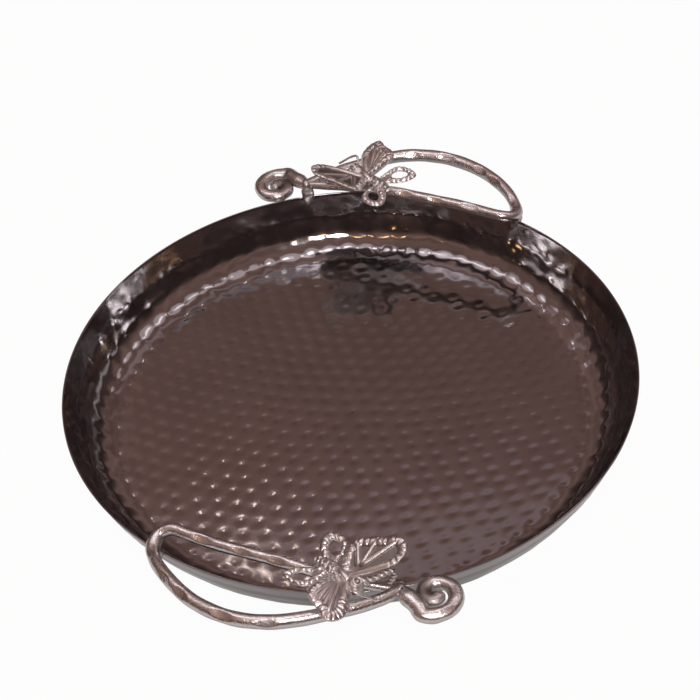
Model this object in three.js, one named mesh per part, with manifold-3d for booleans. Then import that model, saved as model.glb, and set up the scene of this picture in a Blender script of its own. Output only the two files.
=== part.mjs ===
// A round serving tray: a hammered sheet-metal dish with two cast twig handles, each carrying a butterfly.
// Millimetres, +Z up. The origin is under the middle of the flat base. The handles lie across the rim on
// the Y axis: the front one at -Y, and the rear one the same, turned half a turn about Z.

import * as THREE from 'three';
import { mergeVertices } from 'three/addons/utils/BufferGeometryUtils.js';
import Module from 'manifold-3d';

const wasm = await Module();
wasm.setup();

// Dish, measured on its outside face
const RIM_RADIUS = 180;
const DISH_HEIGHT = 35.7;
const SHEET = 1.2;
const COLLAR_HEIGHT = 14;
const COLLAR_FLARE = 21.5; // degrees from upright
const WALL_FLARE = 28.5; // degrees from upright
const COVE_RADIUS = 15;

// Twig loop: its rod, and how far its centre line stands along, out from, in from and above the rim
const ROD_RADIUS = 3.75;
const GRIP_RADIUS = 4.4; // the rod at the middle of the outer run
const GRIP_SHARE = 0.65; // the share of the first rod's length that swells into the grip
const JUNCTION_ALONG = 75;
const JUNCTION_OUT = 6.5;
const BEND_ALONG = 72.5;
const BEND_OUT = 2.2;
const LOOP_OUT = 31.6;
const LOOP_IN = 15;
const OUTER_LIFT = 9;
const INNER_LIFT = 10;
const SEAT_LIFT = 5.5;
const KNUCKLE_RADIUS = 4.3;
const BRANCH_END_RADIUS = 2.7; // the inner run where it reaches the junction
const SCARF_LENGTH = 5; // how far the inner run's two halves run one inside the other
const SCARF_STEP = 0.2; // and how much thinner the inside half is

// Tendril curl, a flat spiral beyond the junction
const CURL_ALONG = 19.5;
const CURL_IN = 3;
const CURL_DROP = 3;
const CURL_RADIUS = 15.6;
const CURL_EYE = 2.4;
const CURL_TURN = 440; // degrees
const CURL_CLOSE = 1.15; // above 1 the spiral closes in sooner
const NECK_HALF_WIDTH = 5.4;
const NECK_ROOT = 0.08; // the share of the curl's length over which its root swells out of the junction
const NECK_SHARE = 0.3; // and the share over which the flat neck rounds into the rod
const CURL_ROD_RADIUS = 4.5;
const CURL_TIP_RADIUS = 2.4;
const CURL_TAPER_START = 0.38; // shares of the curl's length between which the rod thins
const CURL_TAPER_END = 0.68;

// Rim lugs, the slotted feet that sit on the rim's edge under the loop
const LUG_LENGTH = 8;
const LUG_IN = 3.5; // from the rim's edge towards the dish, and away from it
const LUG_OUT = 4.5;
const LUG_GRIP = 6; // below the rim's edge inside the dish, and outside it
const LUG_LAP = 2;

// Butterfly: the middle of its body over the handle, and its heading
const BUTTERFLY_ALONG = 37.2;
const BUTTERFLY_OUT = -2.6;
const BUTTERFLY_LIFT = 14;
const BUTTERFLY_HEADING = -22; // degrees
const BODY_TURN = -8; // degrees that the body and antennae turn further than the wings
const FRONT_SHIFT = 5; // each butterfly was set by hand, so the two sit differently along their loops
const REAR_SHIFT = -6;
const THORAX_LENGTH = 11;
const THORAX_RADIUS = 4.4;
const ABDOMEN_LENGTH = 15;
const ABDOMEN_RADIUS = 4.2;
const ABDOMEN_RIBS = 6;
const RIB_DEPTH = 0.35;
const HEAD_RADIUS = 5;
const EYE_RADIUS = 2.8;
const EYES = [[0.38, 0.1, 0.92], [0.72, -0.69, 0.05]]; // where each eye looks: forward, to the dish, up
const EYE_SEAT = 0.85; // how far out in the head it sits, as a share of the head's radius
const WING_THICKNESS = 1.8;
const WING_GAP = 1; // between a forewing and the hindwing behind it

// Wings in plan: how far each goes forward, outward and back from the middle of the body, where a
// forewing's rear corner lies, and how much a wing climbs per millimetre forward and outward
const INNER_FOREWING = {
  forward: 28,
  outward: 30.5,
  cornerBack: 7.2,
  cornerOut: 21.5,
  climbForward: 0.2,
  climbOutward: 0.375,
};
const OUTER_FOREWING = {
  forward: 19.5,
  outward: 33,
  cornerBack: 6,
  cornerOut: 25,
  climbForward: -0.2,
  climbOutward: 0.22,
};
const INNER_HINDWING = { back: 23, outward: 21, climbForward: 0, climbOutward: 0.08 };
const OUTER_HINDWING = { back: 26, outward: 19.5, climbForward: 0, climbOutward: 0.12 };
const WINDOW_LENGTH = 11; // the open window in a hindwing
const WINDOW_WIDTH = 7;

// Antennae: where each wire passes and ends in the body's frame, forward, towards the dish and up
const INNER_ANTENNA = {
  radius: 1.2,
  points: [[17, 8, 3], [22.6, 15.4, 6.8], [25.2, 18.6, 6], [23.7, 17.6, 1], [21.8, 16.8, -3.8]],
};
const OUTER_ANTENNA = { radius: 0.8, points: [[18, -7, 6.5], [27.6, 0.6, 0]] };

// Fits and facets
const FIT_GAP = 0.3; // left between pieces that touch
const WELD = 1e-3;
const DISH_SEGMENTS = 72;
const COVE_STEPS = 5;
const ROD_SIDES = 10;
const LOOP_STEPS = 56;
const BRANCH_STEPS = 10;
const CURL_STEPS = 40;
const BODY_SEGMENTS = 14;
const ANTENNA_STEPS = 18;
const ANTENNA_SIDES = 6;
const OUTLINE_STEPS = 3;

const SILVER = { color: '#b3a9a7', roughness: 0.28, metalness: 1 };

// Solids for cutting and joining
function solidOf(geometry) {
  const bare = geometry.clone();
  bare.deleteAttribute('normal');
  bare.deleteAttribute('uv');
  const welded = mergeVertices(bare, WELD);
  const vertProperties = Float32Array.from(welded.attributes.position.array);
  const triVerts = Uint32Array.from(welded.index.array);
  return new wasm.Manifold(new wasm.Mesh({ numProp: 3, vertProperties, triVerts }));
}

function geometryOf(solid) {
  const mesh = solid.getMesh();
  const geometry = new THREE.BufferGeometry();
  geometry.setAttribute('position', new THREE.BufferAttribute(mesh.vertProperties, 3));
  geometry.setIndex(new THREE.BufferAttribute(mesh.triVerts, 1));
  geometry.computeVertexNormals();
  return geometry;
}

function piece(name, solid) {
  const mesh = new THREE.Mesh(geometryOf(solid), new THREE.MeshStandardMaterial(SILVER));
  mesh.name = name;
  return mesh;
}

const radians = THREE.MathUtils.degToRad;

// A rod along a curve, with an oval section given by sizeAt(share of the length) as [half width, half height]
function rodAlong(curve, steps, sides, sizeAt) {
  const frames = curve.computeFrenetFrames(steps, false);
  const positions = [];
  const faces = [];
  for (let step = 0; step <= steps; step += 1) {
    const share = step / steps;
    const centre = curve.getPointAt(share);
    const [halfWidth, halfHeight] = sizeAt(share);
    for (let side = 0; side < sides; side += 1) {
      const turn = (side / sides) * 2 * Math.PI;
      const corner = centre.clone();
      corner.addScaledVector(frames.normals[step], Math.cos(turn) * halfHeight);
      corner.addScaledVector(frames.binormals[step], Math.sin(turn) * halfWidth);
      positions.push(corner.x, corner.y, corner.z);
    }
  }
  for (let step = 0; step < steps; step += 1) {
    for (let side = 0; side < sides; side += 1) {
      const here = step * sides + side;
      const next = step * sides + ((side + 1) % sides);
      faces.push(here, next, next + sides, here, next + sides, here + sides);
    }
  }
  const last = steps * sides;
  for (let side = 1; side < sides - 1; side += 1) {
    faces.push(0, side + 1, side);
    faces.push(last, last + side, last + side + 1);
  }
  const geometry = new THREE.BufferGeometry();
  geometry.setAttribute('position', new THREE.Float32BufferAttribute(positions, 3));
  geometry.setIndex(faces);
  return solidOf(geometry);
}

// Dish profile: the outside face from the axis to the rim, as points of radius and height
function outsideProfile() {
  const wallSlope = radians(90 - WALL_FLARE);
  const creaseRadius = RIM_RADIUS - COLLAR_HEIGHT * Math.tan(radians(COLLAR_FLARE));
  const coveHeight = COVE_RADIUS * (1 - Math.cos(wallSlope));
  const wallHeight = DISH_HEIGHT - COLLAR_HEIGHT - coveHeight;
  const coveTopRadius = creaseRadius - wallHeight * Math.tan(radians(WALL_FLARE));
  const baseRadius = coveTopRadius - COVE_RADIUS * Math.sin(wallSlope);
  const points = [new THREE.Vector2(0, 0)];
  for (let step = 0; step <= COVE_STEPS; step += 1) {
    const slope = (step / COVE_STEPS) * wallSlope;
    const radius = baseRadius + COVE_RADIUS * Math.sin(slope);
    points.push(new THREE.Vector2(radius, COVE_RADIUS * (1 - Math.cos(slope))));
  }
  points.push(new THREE.Vector2(creaseRadius, DISH_HEIGHT - COLLAR_HEIGHT));
  points.push(new THREE.Vector2(RIM_RADIUS, DISH_HEIGHT));
  return points;
}

// The same profile moved towards the inside by a distance, with mitred corners
function movedProfile(points, distance) {
  return points.map((point, index) => {
    const before = points[Math.max(index - 1, 0)];
    const after = points[Math.min(index + 1, points.length - 1)];
    const along = point.clone().sub(before).normalize();
    const onward = after.clone().sub(point).normalize();
    const heading = along.clone().add(onward).normalize();
    const inward = new THREE.Vector2(-heading.y, heading.x);
    const straight = index === 0 || index === points.length - 1;
    const mitre = straight ? 1 : Math.sqrt((1 + along.dot(onward)) / 2);
    return point.clone().addScaledVector(inward, distance / mitre);
  });
}

// The dish, or with grow the space that its neighbours leave clear for it
function dishSolid(grow) {
  const face = outsideProfile();
  const rim = face[face.length - 1];
  const collar = rim.clone().sub(face[face.length - 2]).normalize();
  rim.addScaledVector(collar, grow);
  const outside = movedProfile(face, -grow);
  const inside = movedProfile(face, SHEET + grow).reverse();
  return solidOf(new THREE.LatheGeometry([...outside, ...inside], DISH_SEGMENTS).rotateX(Math.PI / 2));
}

// A point by a handle: along the rim from the handle's middle, out from the rim's edge and above it
function overRim(along, out, lift) {
  const reach = Math.sqrt(RIM_RADIUS ** 2 - along ** 2) + out;
  return new THREE.Vector3(along, -reach, DISH_HEIGHT + lift);
}

const junction = overRim(JUNCTION_ALONG, JUNCTION_OUT, SEAT_LIFT);
const outerMidLift = (SEAT_LIFT + OUTER_LIFT) / 2;
const innerMidLift = (SEAT_LIFT + INNER_LIFT) / 2;

// Outer run, bend and first half of the inner run
function mainRunCurve() {
  return new THREE.CatmullRomCurve3([
    junction,
    overRim(0.88 * JUNCTION_ALONG, 0.37 * LOOP_OUT, SEAT_LIFT),
    overRim(0.66 * JUNCTION_ALONG, 0.58 * LOOP_OUT, outerMidLift),
    overRim(0.2 * JUNCTION_ALONG, 0.93 * LOOP_OUT, OUTER_LIFT),
    overRim(-0.13 * BEND_ALONG, LOOP_OUT, OUTER_LIFT),
    overRim(-0.47 * BEND_ALONG, 0.89 * LOOP_OUT, OUTER_LIFT),
    overRim(-0.77 * BEND_ALONG, 0.6 * LOOP_OUT, OUTER_LIFT),
    overRim(-0.93 * BEND_ALONG, 0.33 * LOOP_OUT, outerMidLift),
    overRim(-BEND_ALONG, BEND_OUT, SEAT_LIFT),
    overRim(-0.98 * BEND_ALONG, -0.44 * LOOP_IN, innerMidLift),
    overRim(-0.89 * BEND_ALONG, -0.83 * LOOP_IN, INNER_LIFT),
    overRim(-0.74 * BEND_ALONG, -0.95 * LOOP_IN, INNER_LIFT),
    overRim(-0.52 * BEND_ALONG, -LOOP_IN, INNER_LIFT),
    overRim(-0.16 * BEND_ALONG, -LOOP_IN, INNER_LIFT),
    overRim(0.15 * JUNCTION_ALONG, -0.8 * LOOP_IN, INNER_LIFT),
  ]);
}

// Second half of the inner run, scarfed into the first half and run into the junction
function branchRunCurve(mainRun) {
  const mainEnd = mainRun.getPointAt(1);
  const scarf = mainEnd.clone().addScaledVector(mainRun.getTangentAt(1), -SCARF_LENGTH);
  return new THREE.CatmullRomCurve3([
    scarf,
    mainEnd,
    overRim(0.53 * JUNCTION_ALONG, -0.32 * LOOP_IN, innerMidLift),
    junction,
  ]);
}

function loopSolid(grow) {
  const mainRun = mainRunCurve();
  const radius = ROD_RADIUS + grow;
  const main = rodAlong(mainRun, LOOP_STEPS, ROD_SIDES, (share) => {
    const swell = Math.sin(Math.PI * Math.min(share / GRIP_SHARE, 1));
    const swollen = radius + (GRIP_RADIUS - ROD_RADIUS) * swell;
    return [swollen, swollen];
  });
  const branch = rodAlong(branchRunCurve(mainRun), BRANCH_STEPS, ROD_SIDES, (share) => {
    const thinned = THREE.MathUtils.lerp(ROD_RADIUS - SCARF_STEP, BRANCH_END_RADIUS, share) + grow;
    return [thinned, thinned];
  });
  const ball = new THREE.SphereGeometry(KNUCKLE_RADIUS + grow, ROD_SIDES, ROD_SIDES);
  const knuckle = solidOf(ball.translate(junction.x, junction.y, junction.z));
  return main.add(branch).add(knuckle);
}

// Neck from the junction into a flat spiral that closes in to its eye
function curlCurve() {
  const centre = junction.clone().add(new THREE.Vector3(CURL_ALONG, CURL_IN, -CURL_DROP));
  const neck = new THREE.Vector3(0.6 * CURL_ALONG, -0.5 * CURL_RADIUS, -CURL_DROP / 2);
  const points = [junction, junction.clone().add(neck)];
  for (let turned = 0; turned <= CURL_TURN; turned += CURL_TURN / 10) {
    const angle = radians(turned - 100);
    const open = (1 - turned / CURL_TURN) ** CURL_CLOSE;
    const reach = THREE.MathUtils.lerp(CURL_EYE, CURL_RADIUS, open);
    points.push(centre.clone().add(new THREE.Vector3(reach * Math.cos(angle), reach * Math.sin(angle), 0)));
  }
  return new THREE.CatmullRomCurve3(points);
}

function curlSolid(grow) {
  return rodAlong(curlCurve(), CURL_STEPS, ROD_SIDES, (share) => {
    const rooted = Math.min(share / NECK_ROOT, 1);
    const tapered = THREE.MathUtils.smoothstep(share, CURL_TAPER_START, CURL_TAPER_END);
    const rod = THREE.MathUtils.lerp(CURL_ROD_RADIUS, CURL_TIP_RADIUS, tapered);
    const flare = Math.max(0, 1 - share / NECK_SHARE);
    const halfHeight = THREE.MathUtils.lerp(CURL_TIP_RADIUS, rod, rooted) + grow;
    const neck = THREE.MathUtils.lerp(rod, NECK_HALF_WIDTH, flare);
    return [THREE.MathUtils.lerp(CURL_TIP_RADIUS, neck, rooted) + grow, halfHeight];
  });
}

// A lug is a rounded block across the rim's edge, from its grip below the edge up to the rod's centre line
function lugSolid(seat) {
  const [inner, outer] = [RIM_RADIUS - LUG_IN, RIM_RADIUS + LUG_OUT];
  const [grip, lap] = [DISH_HEIGHT - LUG_GRIP, DISH_HEIGHT - LUG_LAP];
  const corner = LUG_LAP / 2;
  const outline = new THREE.Shape();
  outline.moveTo(inner, seat.z);
  outline.lineTo(inner, grip + corner);
  outline.quadraticCurveTo(inner, grip, inner + corner, grip);
  outline.lineTo(outer - corner, lap);
  outline.quadraticCurveTo(outer, lap, outer, lap + corner);
  outline.lineTo(outer, seat.z);
  const block = new THREE.ExtrudeGeometry(outline, {
    depth: LUG_LENGTH,
    bevelEnabled: false,
    curveSegments: OUTLINE_STEPS,
  });
  block.translate(0, 0, -LUG_LENGTH / 2).rotateX(Math.PI / 2).rotateZ(Math.atan2(seat.y, seat.x));
  return solidOf(block);
}

// Butterfly frame: X forward along the body, Y to the dish side, Z up
function butterflyFrame(shift) {
  const middle = overRim(BUTTERFLY_ALONG, BUTTERFLY_OUT, BUTTERFLY_LIFT);
  middle.x += shift;
  const frame = new THREE.Matrix4().makeRotationZ(radians(BUTTERFLY_HEADING));
  return frame.setPosition(middle);
}

// Places along the body, whose middle is a third of the way up the thorax
const waist = -THORAX_LENGTH / 3;
const tail = waist - ABDOMEN_LENGTH;
const headMiddle = waist + THORAX_LENGTH + 0.7 * HEAD_RADIUS;

// Body turned about its own length: ribbed abdomen, thorax and head with two eyes
function bodySolid(grow, frame) {
  const profile = [new THREE.Vector2(0, tail - grow)];
  for (let rib = 0; rib < ABDOMEN_RIBS; rib += 1) {
    const start = rib / ABDOMEN_RIBS;
    const crest = (rib + 0.5) / ABDOMEN_RIBS;
    const girth = ABDOMEN_RADIUS * Math.sqrt(Math.sin(Math.PI * (0.12 + 0.55 * crest)));
    const groove = ABDOMEN_RADIUS * Math.sqrt(Math.sin(Math.PI * (0.1 + 0.55 * start))) - RIB_DEPTH;
    profile.push(new THREE.Vector2(groove + grow, tail + start * ABDOMEN_LENGTH));
    profile.push(new THREE.Vector2(girth + grow, tail + crest * ABDOMEN_LENGTH));
  }
  const waistRadius = 0.7 * ABDOMEN_RADIUS;
  profile.push(new THREE.Vector2(waistRadius + grow, waist));
  for (const share of [0.2, 0.5, 0.8]) {
    const girth = waistRadius + (THORAX_RADIUS - waistRadius) * Math.sin(Math.PI * share);
    profile.push(new THREE.Vector2(girth + grow, waist + share * THORAX_LENGTH));
  }
  for (const angle of [-45, 0, 35, 65]) {
    const girth = (HEAD_RADIUS + grow) * Math.cos(radians(angle));
    profile.push(new THREE.Vector2(girth, headMiddle + (HEAD_RADIUS + grow) * Math.sin(radians(angle))));
  }
  profile.push(new THREE.Vector2(0, headMiddle + HEAD_RADIUS + grow));
  const turned = new THREE.LatheGeometry(profile, BODY_SEGMENTS).rotateZ(-Math.PI / 2);
  let body = solidOf(turned.applyMatrix4(frame));
  for (const look of EYES) {
    const eye = new THREE.SphereGeometry(EYE_RADIUS + grow, BODY_SEGMENTS / 2 + 1, BODY_SEGMENTS / 2);
    const seat = new THREE.Vector3(...look).multiplyScalar(EYE_SEAT * HEAD_RADIUS);
    eye.translate(headMiddle + seat.x, seat.y, seat.z).applyMatrix4(frame);
    body = body.add(solidOf(eye));
  }
  return body;
}

// A wing is a flat plate in plan, sheared to its climb. side is 1 on the dish side and -1 outside
function wingSolid(outline, wing, side, frame) {
  const plate = new THREE.ExtrudeGeometry(outline, {
    depth: WING_THICKNESS,
    bevelEnabled: false,
    curveSegments: OUTLINE_STEPS,
  });
  plate.translate(0, 0, -WING_THICKNESS / 2);
  const climb = new THREE.Matrix4().makeShear(0, wing.climbForward, 0, wing.climbOutward, 0, 0);
  plate.applyMatrix4(climb);
  const plateSolid = solidOf(plate);
  const sided = side === 1 ? plateSolid : plateSolid.mirror([0, 1, 0]);
  return sided.transform(frame.elements);
}

// Fan-shaped forewing, x forward and y outward from the body
function forewingOutline({ forward, outward, cornerBack, cornerOut }) {
  const outline = new THREE.Shape();
  outline.moveTo(0, 0);
  outline.lineTo(THORAX_LENGTH / 2, 0);
  outline.splineThru([
    new THREE.Vector2(0.7 * forward, 0.3 * outward),
    new THREE.Vector2(forward, 0.58 * outward),
    new THREE.Vector2(forward, 0.84 * outward),
    new THREE.Vector2(0.76 * forward, outward),
    new THREE.Vector2(0.36 * forward, THREE.MathUtils.lerp(outward, cornerOut, 0.4)),
    new THREE.Vector2(-0.6 * cornerBack, cornerOut),
    new THREE.Vector2(-cornerBack, 0.82 * cornerOut),
  ]);
  outline.lineTo(-cornerBack / 2, 0.35 * cornerOut);
  outline.closePath();
  return outline;
}

// Drop-shaped hindwing with an open window, in the room that the forewing leaves
function hindwingOutline({ back, outward }, { cornerBack }) {
  const front = -cornerBack - WING_GAP;
  const outline = new THREE.Shape();
  outline.moveTo(front, 0);
  outline.lineTo(front, 0.3 * outward);
  outline.splineThru([
    new THREE.Vector2(0.35 * (front - back), 0.9 * outward),
    new THREE.Vector2(0.8 * -back, 1.02 * outward),
    new THREE.Vector2(-back, 0.9 * outward),
    new THREE.Vector2(0.86 * -back, 0.5 * outward),
    new THREE.Vector2(0.5 * -back, 0.18 * outward),
  ]);
  outline.lineTo(0.45 * -back, 0);
  outline.closePath();
  const window = new THREE.Path();
  const heading = Math.atan2(outward, -back);
  const [halfLength, halfWidth] = [WINDOW_LENGTH / 2, WINDOW_WIDTH / 2];
  window.absellipse(0.64 * -back, 0.68 * outward, halfLength, halfWidth, 0, 2 * Math.PI, true, heading);
  outline.holes.push(window);
  return outline;
}

// Antenna wire from the head, through its points
function antennaSolid({ radius, points }, side, frame) {
  const root = new THREE.Vector3(headMiddle, 0.3 * HEAD_RADIUS * side, 0.4 * HEAD_RADIUS);
  const knots = [root, ...points.map((point) => new THREE.Vector3(...point))];
  const curve = new THREE.CatmullRomCurve3(knots.map((knot) => knot.applyMatrix4(frame)));
  return rodAlong(curve, ANTENNA_STEPS, ANTENNA_SIDES, () => [radius, radius]);
}

// One handle with everything on it, built in place over the front of the rim
function handle(place, shift) {
  const frame = butterflyFrame(shift);
  const loop = loopSolid(0);
  const loopRoom = loopSolid(FIT_GAP);
  const curlRoom = curlSolid(FIT_GAP);
  const dishRoom = dishSolid(FIT_GAP);
  const bodyFrame = frame.clone().multiply(new THREE.Matrix4().makeRotationZ(radians(BODY_TURN)));
  const bodyRoom = bodySolid(FIT_GAP, bodyFrame);
  const bend = overRim(-BEND_ALONG, BEND_OUT, SEAT_LIFT);
  const lugRoom = loopRoom.add(curlRoom).add(dishRoom);
  const wingRoom = loopRoom.add(bodyRoom);

  const innerFore = wingSolid(forewingOutline(INNER_FOREWING), INNER_FOREWING, 1, frame);
  const outerFore = wingSolid(forewingOutline(OUTER_FOREWING), OUTER_FOREWING, -1, frame);
  const innerHind = wingSolid(hindwingOutline(INNER_HINDWING, INNER_FOREWING), INNER_HINDWING, 1, frame);
  const outerHind = wingSolid(hindwingOutline(OUTER_HINDWING, OUTER_FOREWING), OUTER_HINDWING, -1, frame);

  const group = new THREE.Group();
  group.add(
    piece(`${place}_twig_loop`, loop),
    piece(`${place}_tendril_curl`, curlSolid(0).subtract(loopRoom)),
    piece(`${place}_junction_lug`, lugSolid(junction).subtract(lugRoom)),
    piece(`${place}_bend_lug`, lugSolid(bend).subtract(lugRoom)),
    piece(`${place}_butterfly_body`, bodySolid(0, bodyFrame).subtract(loopRoom)),
    piece(`${place}_inner_forewing`, innerFore.subtract(wingRoom)),
    piece(`${place}_inner_hindwing`, innerHind.subtract(wingRoom)),
    piece(`${place}_outer_forewing`, outerFore.subtract(wingRoom)),
    piece(`${place}_outer_hindwing`, outerHind.subtract(wingRoom)),
    piece(`${place}_inner_antenna`, antennaSolid(INNER_ANTENNA, 1, bodyFrame).subtract(wingRoom)),
    piece(`${place}_outer_antenna`, antennaSolid(OUTER_ANTENNA, -1, bodyFrame).subtract(wingRoom)),
  );
  return group;
}

const tray = new THREE.Group();
tray.add(piece('tray_dish', dishSolid(0)));
tray.add(handle('front', FRONT_SHIFT));
const rear = handle('rear', REAR_SHIFT);
rear.rotation.z = Math.PI;
tray.add(rear);

export default tray;
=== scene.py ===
# %% [markdown]
# # A hammered silver tray with twig handles
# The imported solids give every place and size. This lesson dresses them: a hammered sheet dish,
# two knocked twig loops with tendril curls, and two cast butterflies. All sizes are worked in
# millimetres and turned to metres when a mesh is made.

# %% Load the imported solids
import math

import bmesh
import bpy
import numpy as np
from mathutils import Matrix, Vector


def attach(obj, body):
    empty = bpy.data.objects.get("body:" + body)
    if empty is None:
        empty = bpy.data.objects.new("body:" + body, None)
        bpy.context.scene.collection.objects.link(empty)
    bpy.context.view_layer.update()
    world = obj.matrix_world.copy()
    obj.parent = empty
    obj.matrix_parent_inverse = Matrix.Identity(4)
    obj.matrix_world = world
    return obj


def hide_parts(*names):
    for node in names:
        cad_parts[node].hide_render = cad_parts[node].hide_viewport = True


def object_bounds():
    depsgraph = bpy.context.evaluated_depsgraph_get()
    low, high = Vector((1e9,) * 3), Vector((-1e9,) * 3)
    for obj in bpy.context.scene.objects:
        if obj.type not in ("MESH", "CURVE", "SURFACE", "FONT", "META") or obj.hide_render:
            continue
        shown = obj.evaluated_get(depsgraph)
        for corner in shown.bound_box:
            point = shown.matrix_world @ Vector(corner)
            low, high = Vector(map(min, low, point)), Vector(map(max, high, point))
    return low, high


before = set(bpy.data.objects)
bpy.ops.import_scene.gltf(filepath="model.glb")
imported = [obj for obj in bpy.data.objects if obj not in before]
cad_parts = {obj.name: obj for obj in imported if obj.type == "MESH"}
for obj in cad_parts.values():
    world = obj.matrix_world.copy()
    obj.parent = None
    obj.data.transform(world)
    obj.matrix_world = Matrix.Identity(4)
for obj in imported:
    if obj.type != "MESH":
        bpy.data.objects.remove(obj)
cad_box = [list(corner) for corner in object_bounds()]
MM = 0.001
TAU = 2 * math.pi
UP = np.array((0.0, 0.0, 1.0))
BOX_LOW, BOX_HIGH = np.array(cad_box) / MM
print("solids", len(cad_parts), "box in metres", cad_box)

# %% [markdown]
# ## Small helpers
# Every piece here is a skin over a grid of points: rows along the piece and columns round it.
# Blender's own primitives would need many edits to get there, so the grids are worked out with
# numpy and handed over as finished meshes.


# %% Grid, mesh and piece helpers
def unit(vectors):
    return vectors / np.linalg.norm(vectors, axis=-1, keepdims=True)


def skin(grid, ring=False):
    """Points and faces over rows and columns of points; open ends are closed, a ring joins them."""
    rows, columns = grid.shape[:2]
    points = grid.reshape(-1, 3)
    index = np.arange(rows * columns).reshape(rows, columns)
    here = index if ring else index[:-1]
    beyond = np.roll(index, -1, axis=0) if ring else index[1:]
    quads = np.stack((here, np.roll(here, -1, axis=1), np.roll(beyond, -1, axis=1), beyond), axis=-1)
    faces = quads.reshape(-1, 4).tolist()
    if not ring:
        for edge in (index[0], index[-1]):
            middle = len(points)
            points = np.vstack((points, points[edge].mean(axis=0)))
            faces += [[int(a), int(b), middle] for a, b in zip(edge, np.roll(edge, -1))]
    return points, faces


def gathered(parts):
    """Several skins as one set of points and faces."""
    points, faces = [], []
    for part_points, part_faces in parts:
        start = sum(len(block) for block in points)
        points.append(part_points)
        faces += [[corner + start for corner in face] for face in part_faces]
    return np.vstack(points), faces


def make_piece(name, shape, metal, tarnish_and_shade=None):
    """A named, smooth mesh piece on the root body that replaces the solid of the same name."""
    points, faces = shape
    points = np.clip(points, BOX_LOW, BOX_HIGH)
    mesh = bpy.data.meshes.new(name)
    mesh.from_pydata((points * MM).tolist(), [], faces)
    form = bmesh.new()
    form.from_mesh(mesh)
    bmesh.ops.recalc_face_normals(form, faces=form.faces)
    form.to_mesh(mesh)
    form.free()
    mesh.polygons.foreach_set("use_smooth", [True] * len(mesh.polygons))
    # This attribute carries real patina and braze tint, and also painted shade on the dish, the rods, the
    # curls and the eye socket.
    dark = np.zeros(len(points)) if tarnish_and_shade is None else np.clip(tarnish_and_shade, 0, 1)
    mesh.attributes.new("tarnish_and_shade", "FLOAT", "POINT").data.foreach_set("value", dark.astype(np.float32))
    mesh.materials.append(metal)
    piece = bpy.data.objects.new(name + "_finish", mesh)
    bpy.context.collection.objects.link(piece)
    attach(piece, "root")
    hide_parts(name)
    return piece


def ripple(points, swell, seed):
    """Soft seeded unevenness, about -1 to 1, with swells about that many millimetres apart."""
    dice = np.random.default_rng(seed)
    waves = 12
    heading = unit(dice.normal(size=(waves, 3))) * (TAU / swell)
    phase = dice.uniform(0, TAU, waves)
    return np.sin(points @ heading.T + phase).sum(axis=-1) / math.sqrt(waves)


# %% [markdown]
# ## Metals
# The whole tray is silver-coloured metal, but three surfaces show: rolled sheet that was hammered
# and buffed, rods that were cast and knocked with a hammer, and cast relief whose hollows kept a
# dark patina. A metal's look is its colour, its roughness and what it reflects, so each gets a
# colour, a roughness that wanders, and a fine bump.


# %% Colour and node helpers
def linear(code):
    """A colour written as sRGB hex, as linear red, green, blue and alpha."""
    parts = [int(code[at:at + 2], 16) / 255 for at in (1, 3, 5)]
    return [c / 12.92 if c <= 0.04045 else ((c + 0.055) / 1.055) ** 2.4 for c in parts] + [1.0]


def add_node(tree, kind, inputs, **settings):
    """A node with its settings, its plain input values and its links."""
    node = tree.nodes.new(kind)
    for key, value in settings.items():
        setattr(node, key, value)
    for socket, value in inputs.items():
        if isinstance(value, bpy.types.NodeSocket):
            tree.links.new(value, node.inputs[socket])
        else:
            node.inputs[socket].default_value = value
    return node


def per_metre(size):
    """A texture scale whose pattern repeats about every that many millimetres."""
    return 1 / (size * MM)


def new_metal(name):
    metal = bpy.data.materials.new(name)
    metal.use_nodes = True
    metal.node_tree.nodes.clear()
    return metal, metal.node_tree


# %% Buffed hammered silver sheet: mirror bright, with faint cloudy tarnish and buffing haze
CLOUD_SIZE = 45
HAZE_SIZE = 7
BUFF_SIZE = 0.9
sheet_silver, tree = new_metal("buffed_hammered_silver_sheet")
place = add_node(tree, "ShaderNodeTexCoord", {}).outputs["Object"]
tarnish_and_shade = add_node(tree, "ShaderNodeAttribute", {}, attribute_name="tarnish_and_shade")
cloud, haze, buff = (
    add_node(tree, "ShaderNodeTexNoise", {"Vector": place, "Scale": per_metre(size), "Detail": detail})
    for size, detail in ((CLOUD_SIZE, 4.0), (HAZE_SIZE, 5.0), (BUFF_SIZE, 2.0)))
tint = add_node(tree, "ShaderNodeMix", {
    "Factor": cloud.outputs["Fac"], "A": linear("#aaa7a8"), "B": linear("#989495"),
}, data_type="RGBA")
# Painted shade: where the mesh marks it, the sheet is darkened towards #4b4241; only the dish's lower outside
# is marked.
darkened = add_node(tree, "ShaderNodeMix", {
    "Factor": tarnish_and_shade.outputs["Fac"], "A": tint.outputs["Result"], "B": linear("#4b4241"),
}, data_type="RGBA")
rough = add_node(tree, "ShaderNodeMapRange", {
    "Value": haze.outputs["Fac"], "From Min": 0.3, "From Max": 0.7, "To Min": 0.08, "To Max": 0.13,
})
relief = add_node(tree, "ShaderNodeBump", {
    "Height": buff.outputs["Fac"], "Strength": 0.06, "Distance": 0.1 * MM,
})
shader = add_node(tree, "ShaderNodeBsdfPrincipled", {
    "Base Color": darkened.outputs["Result"], "Metallic": 1.0, "Roughness": rough.outputs["Result"],
    "Normal": relief.outputs["Normal"],
})
add_node(tree, "ShaderNodeOutputMaterial", {"Surface": shader.outputs["BSDF"]})
print("metal", sheet_silver.name)


# %% Cast silver: the rods are smooth with pits, the relief keeps patina in its hollows, and both carry painted shade where the mesh marks it
CAST_CLOUD_SIZE = 9
STAINED_ROUGH = 0.5


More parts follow.
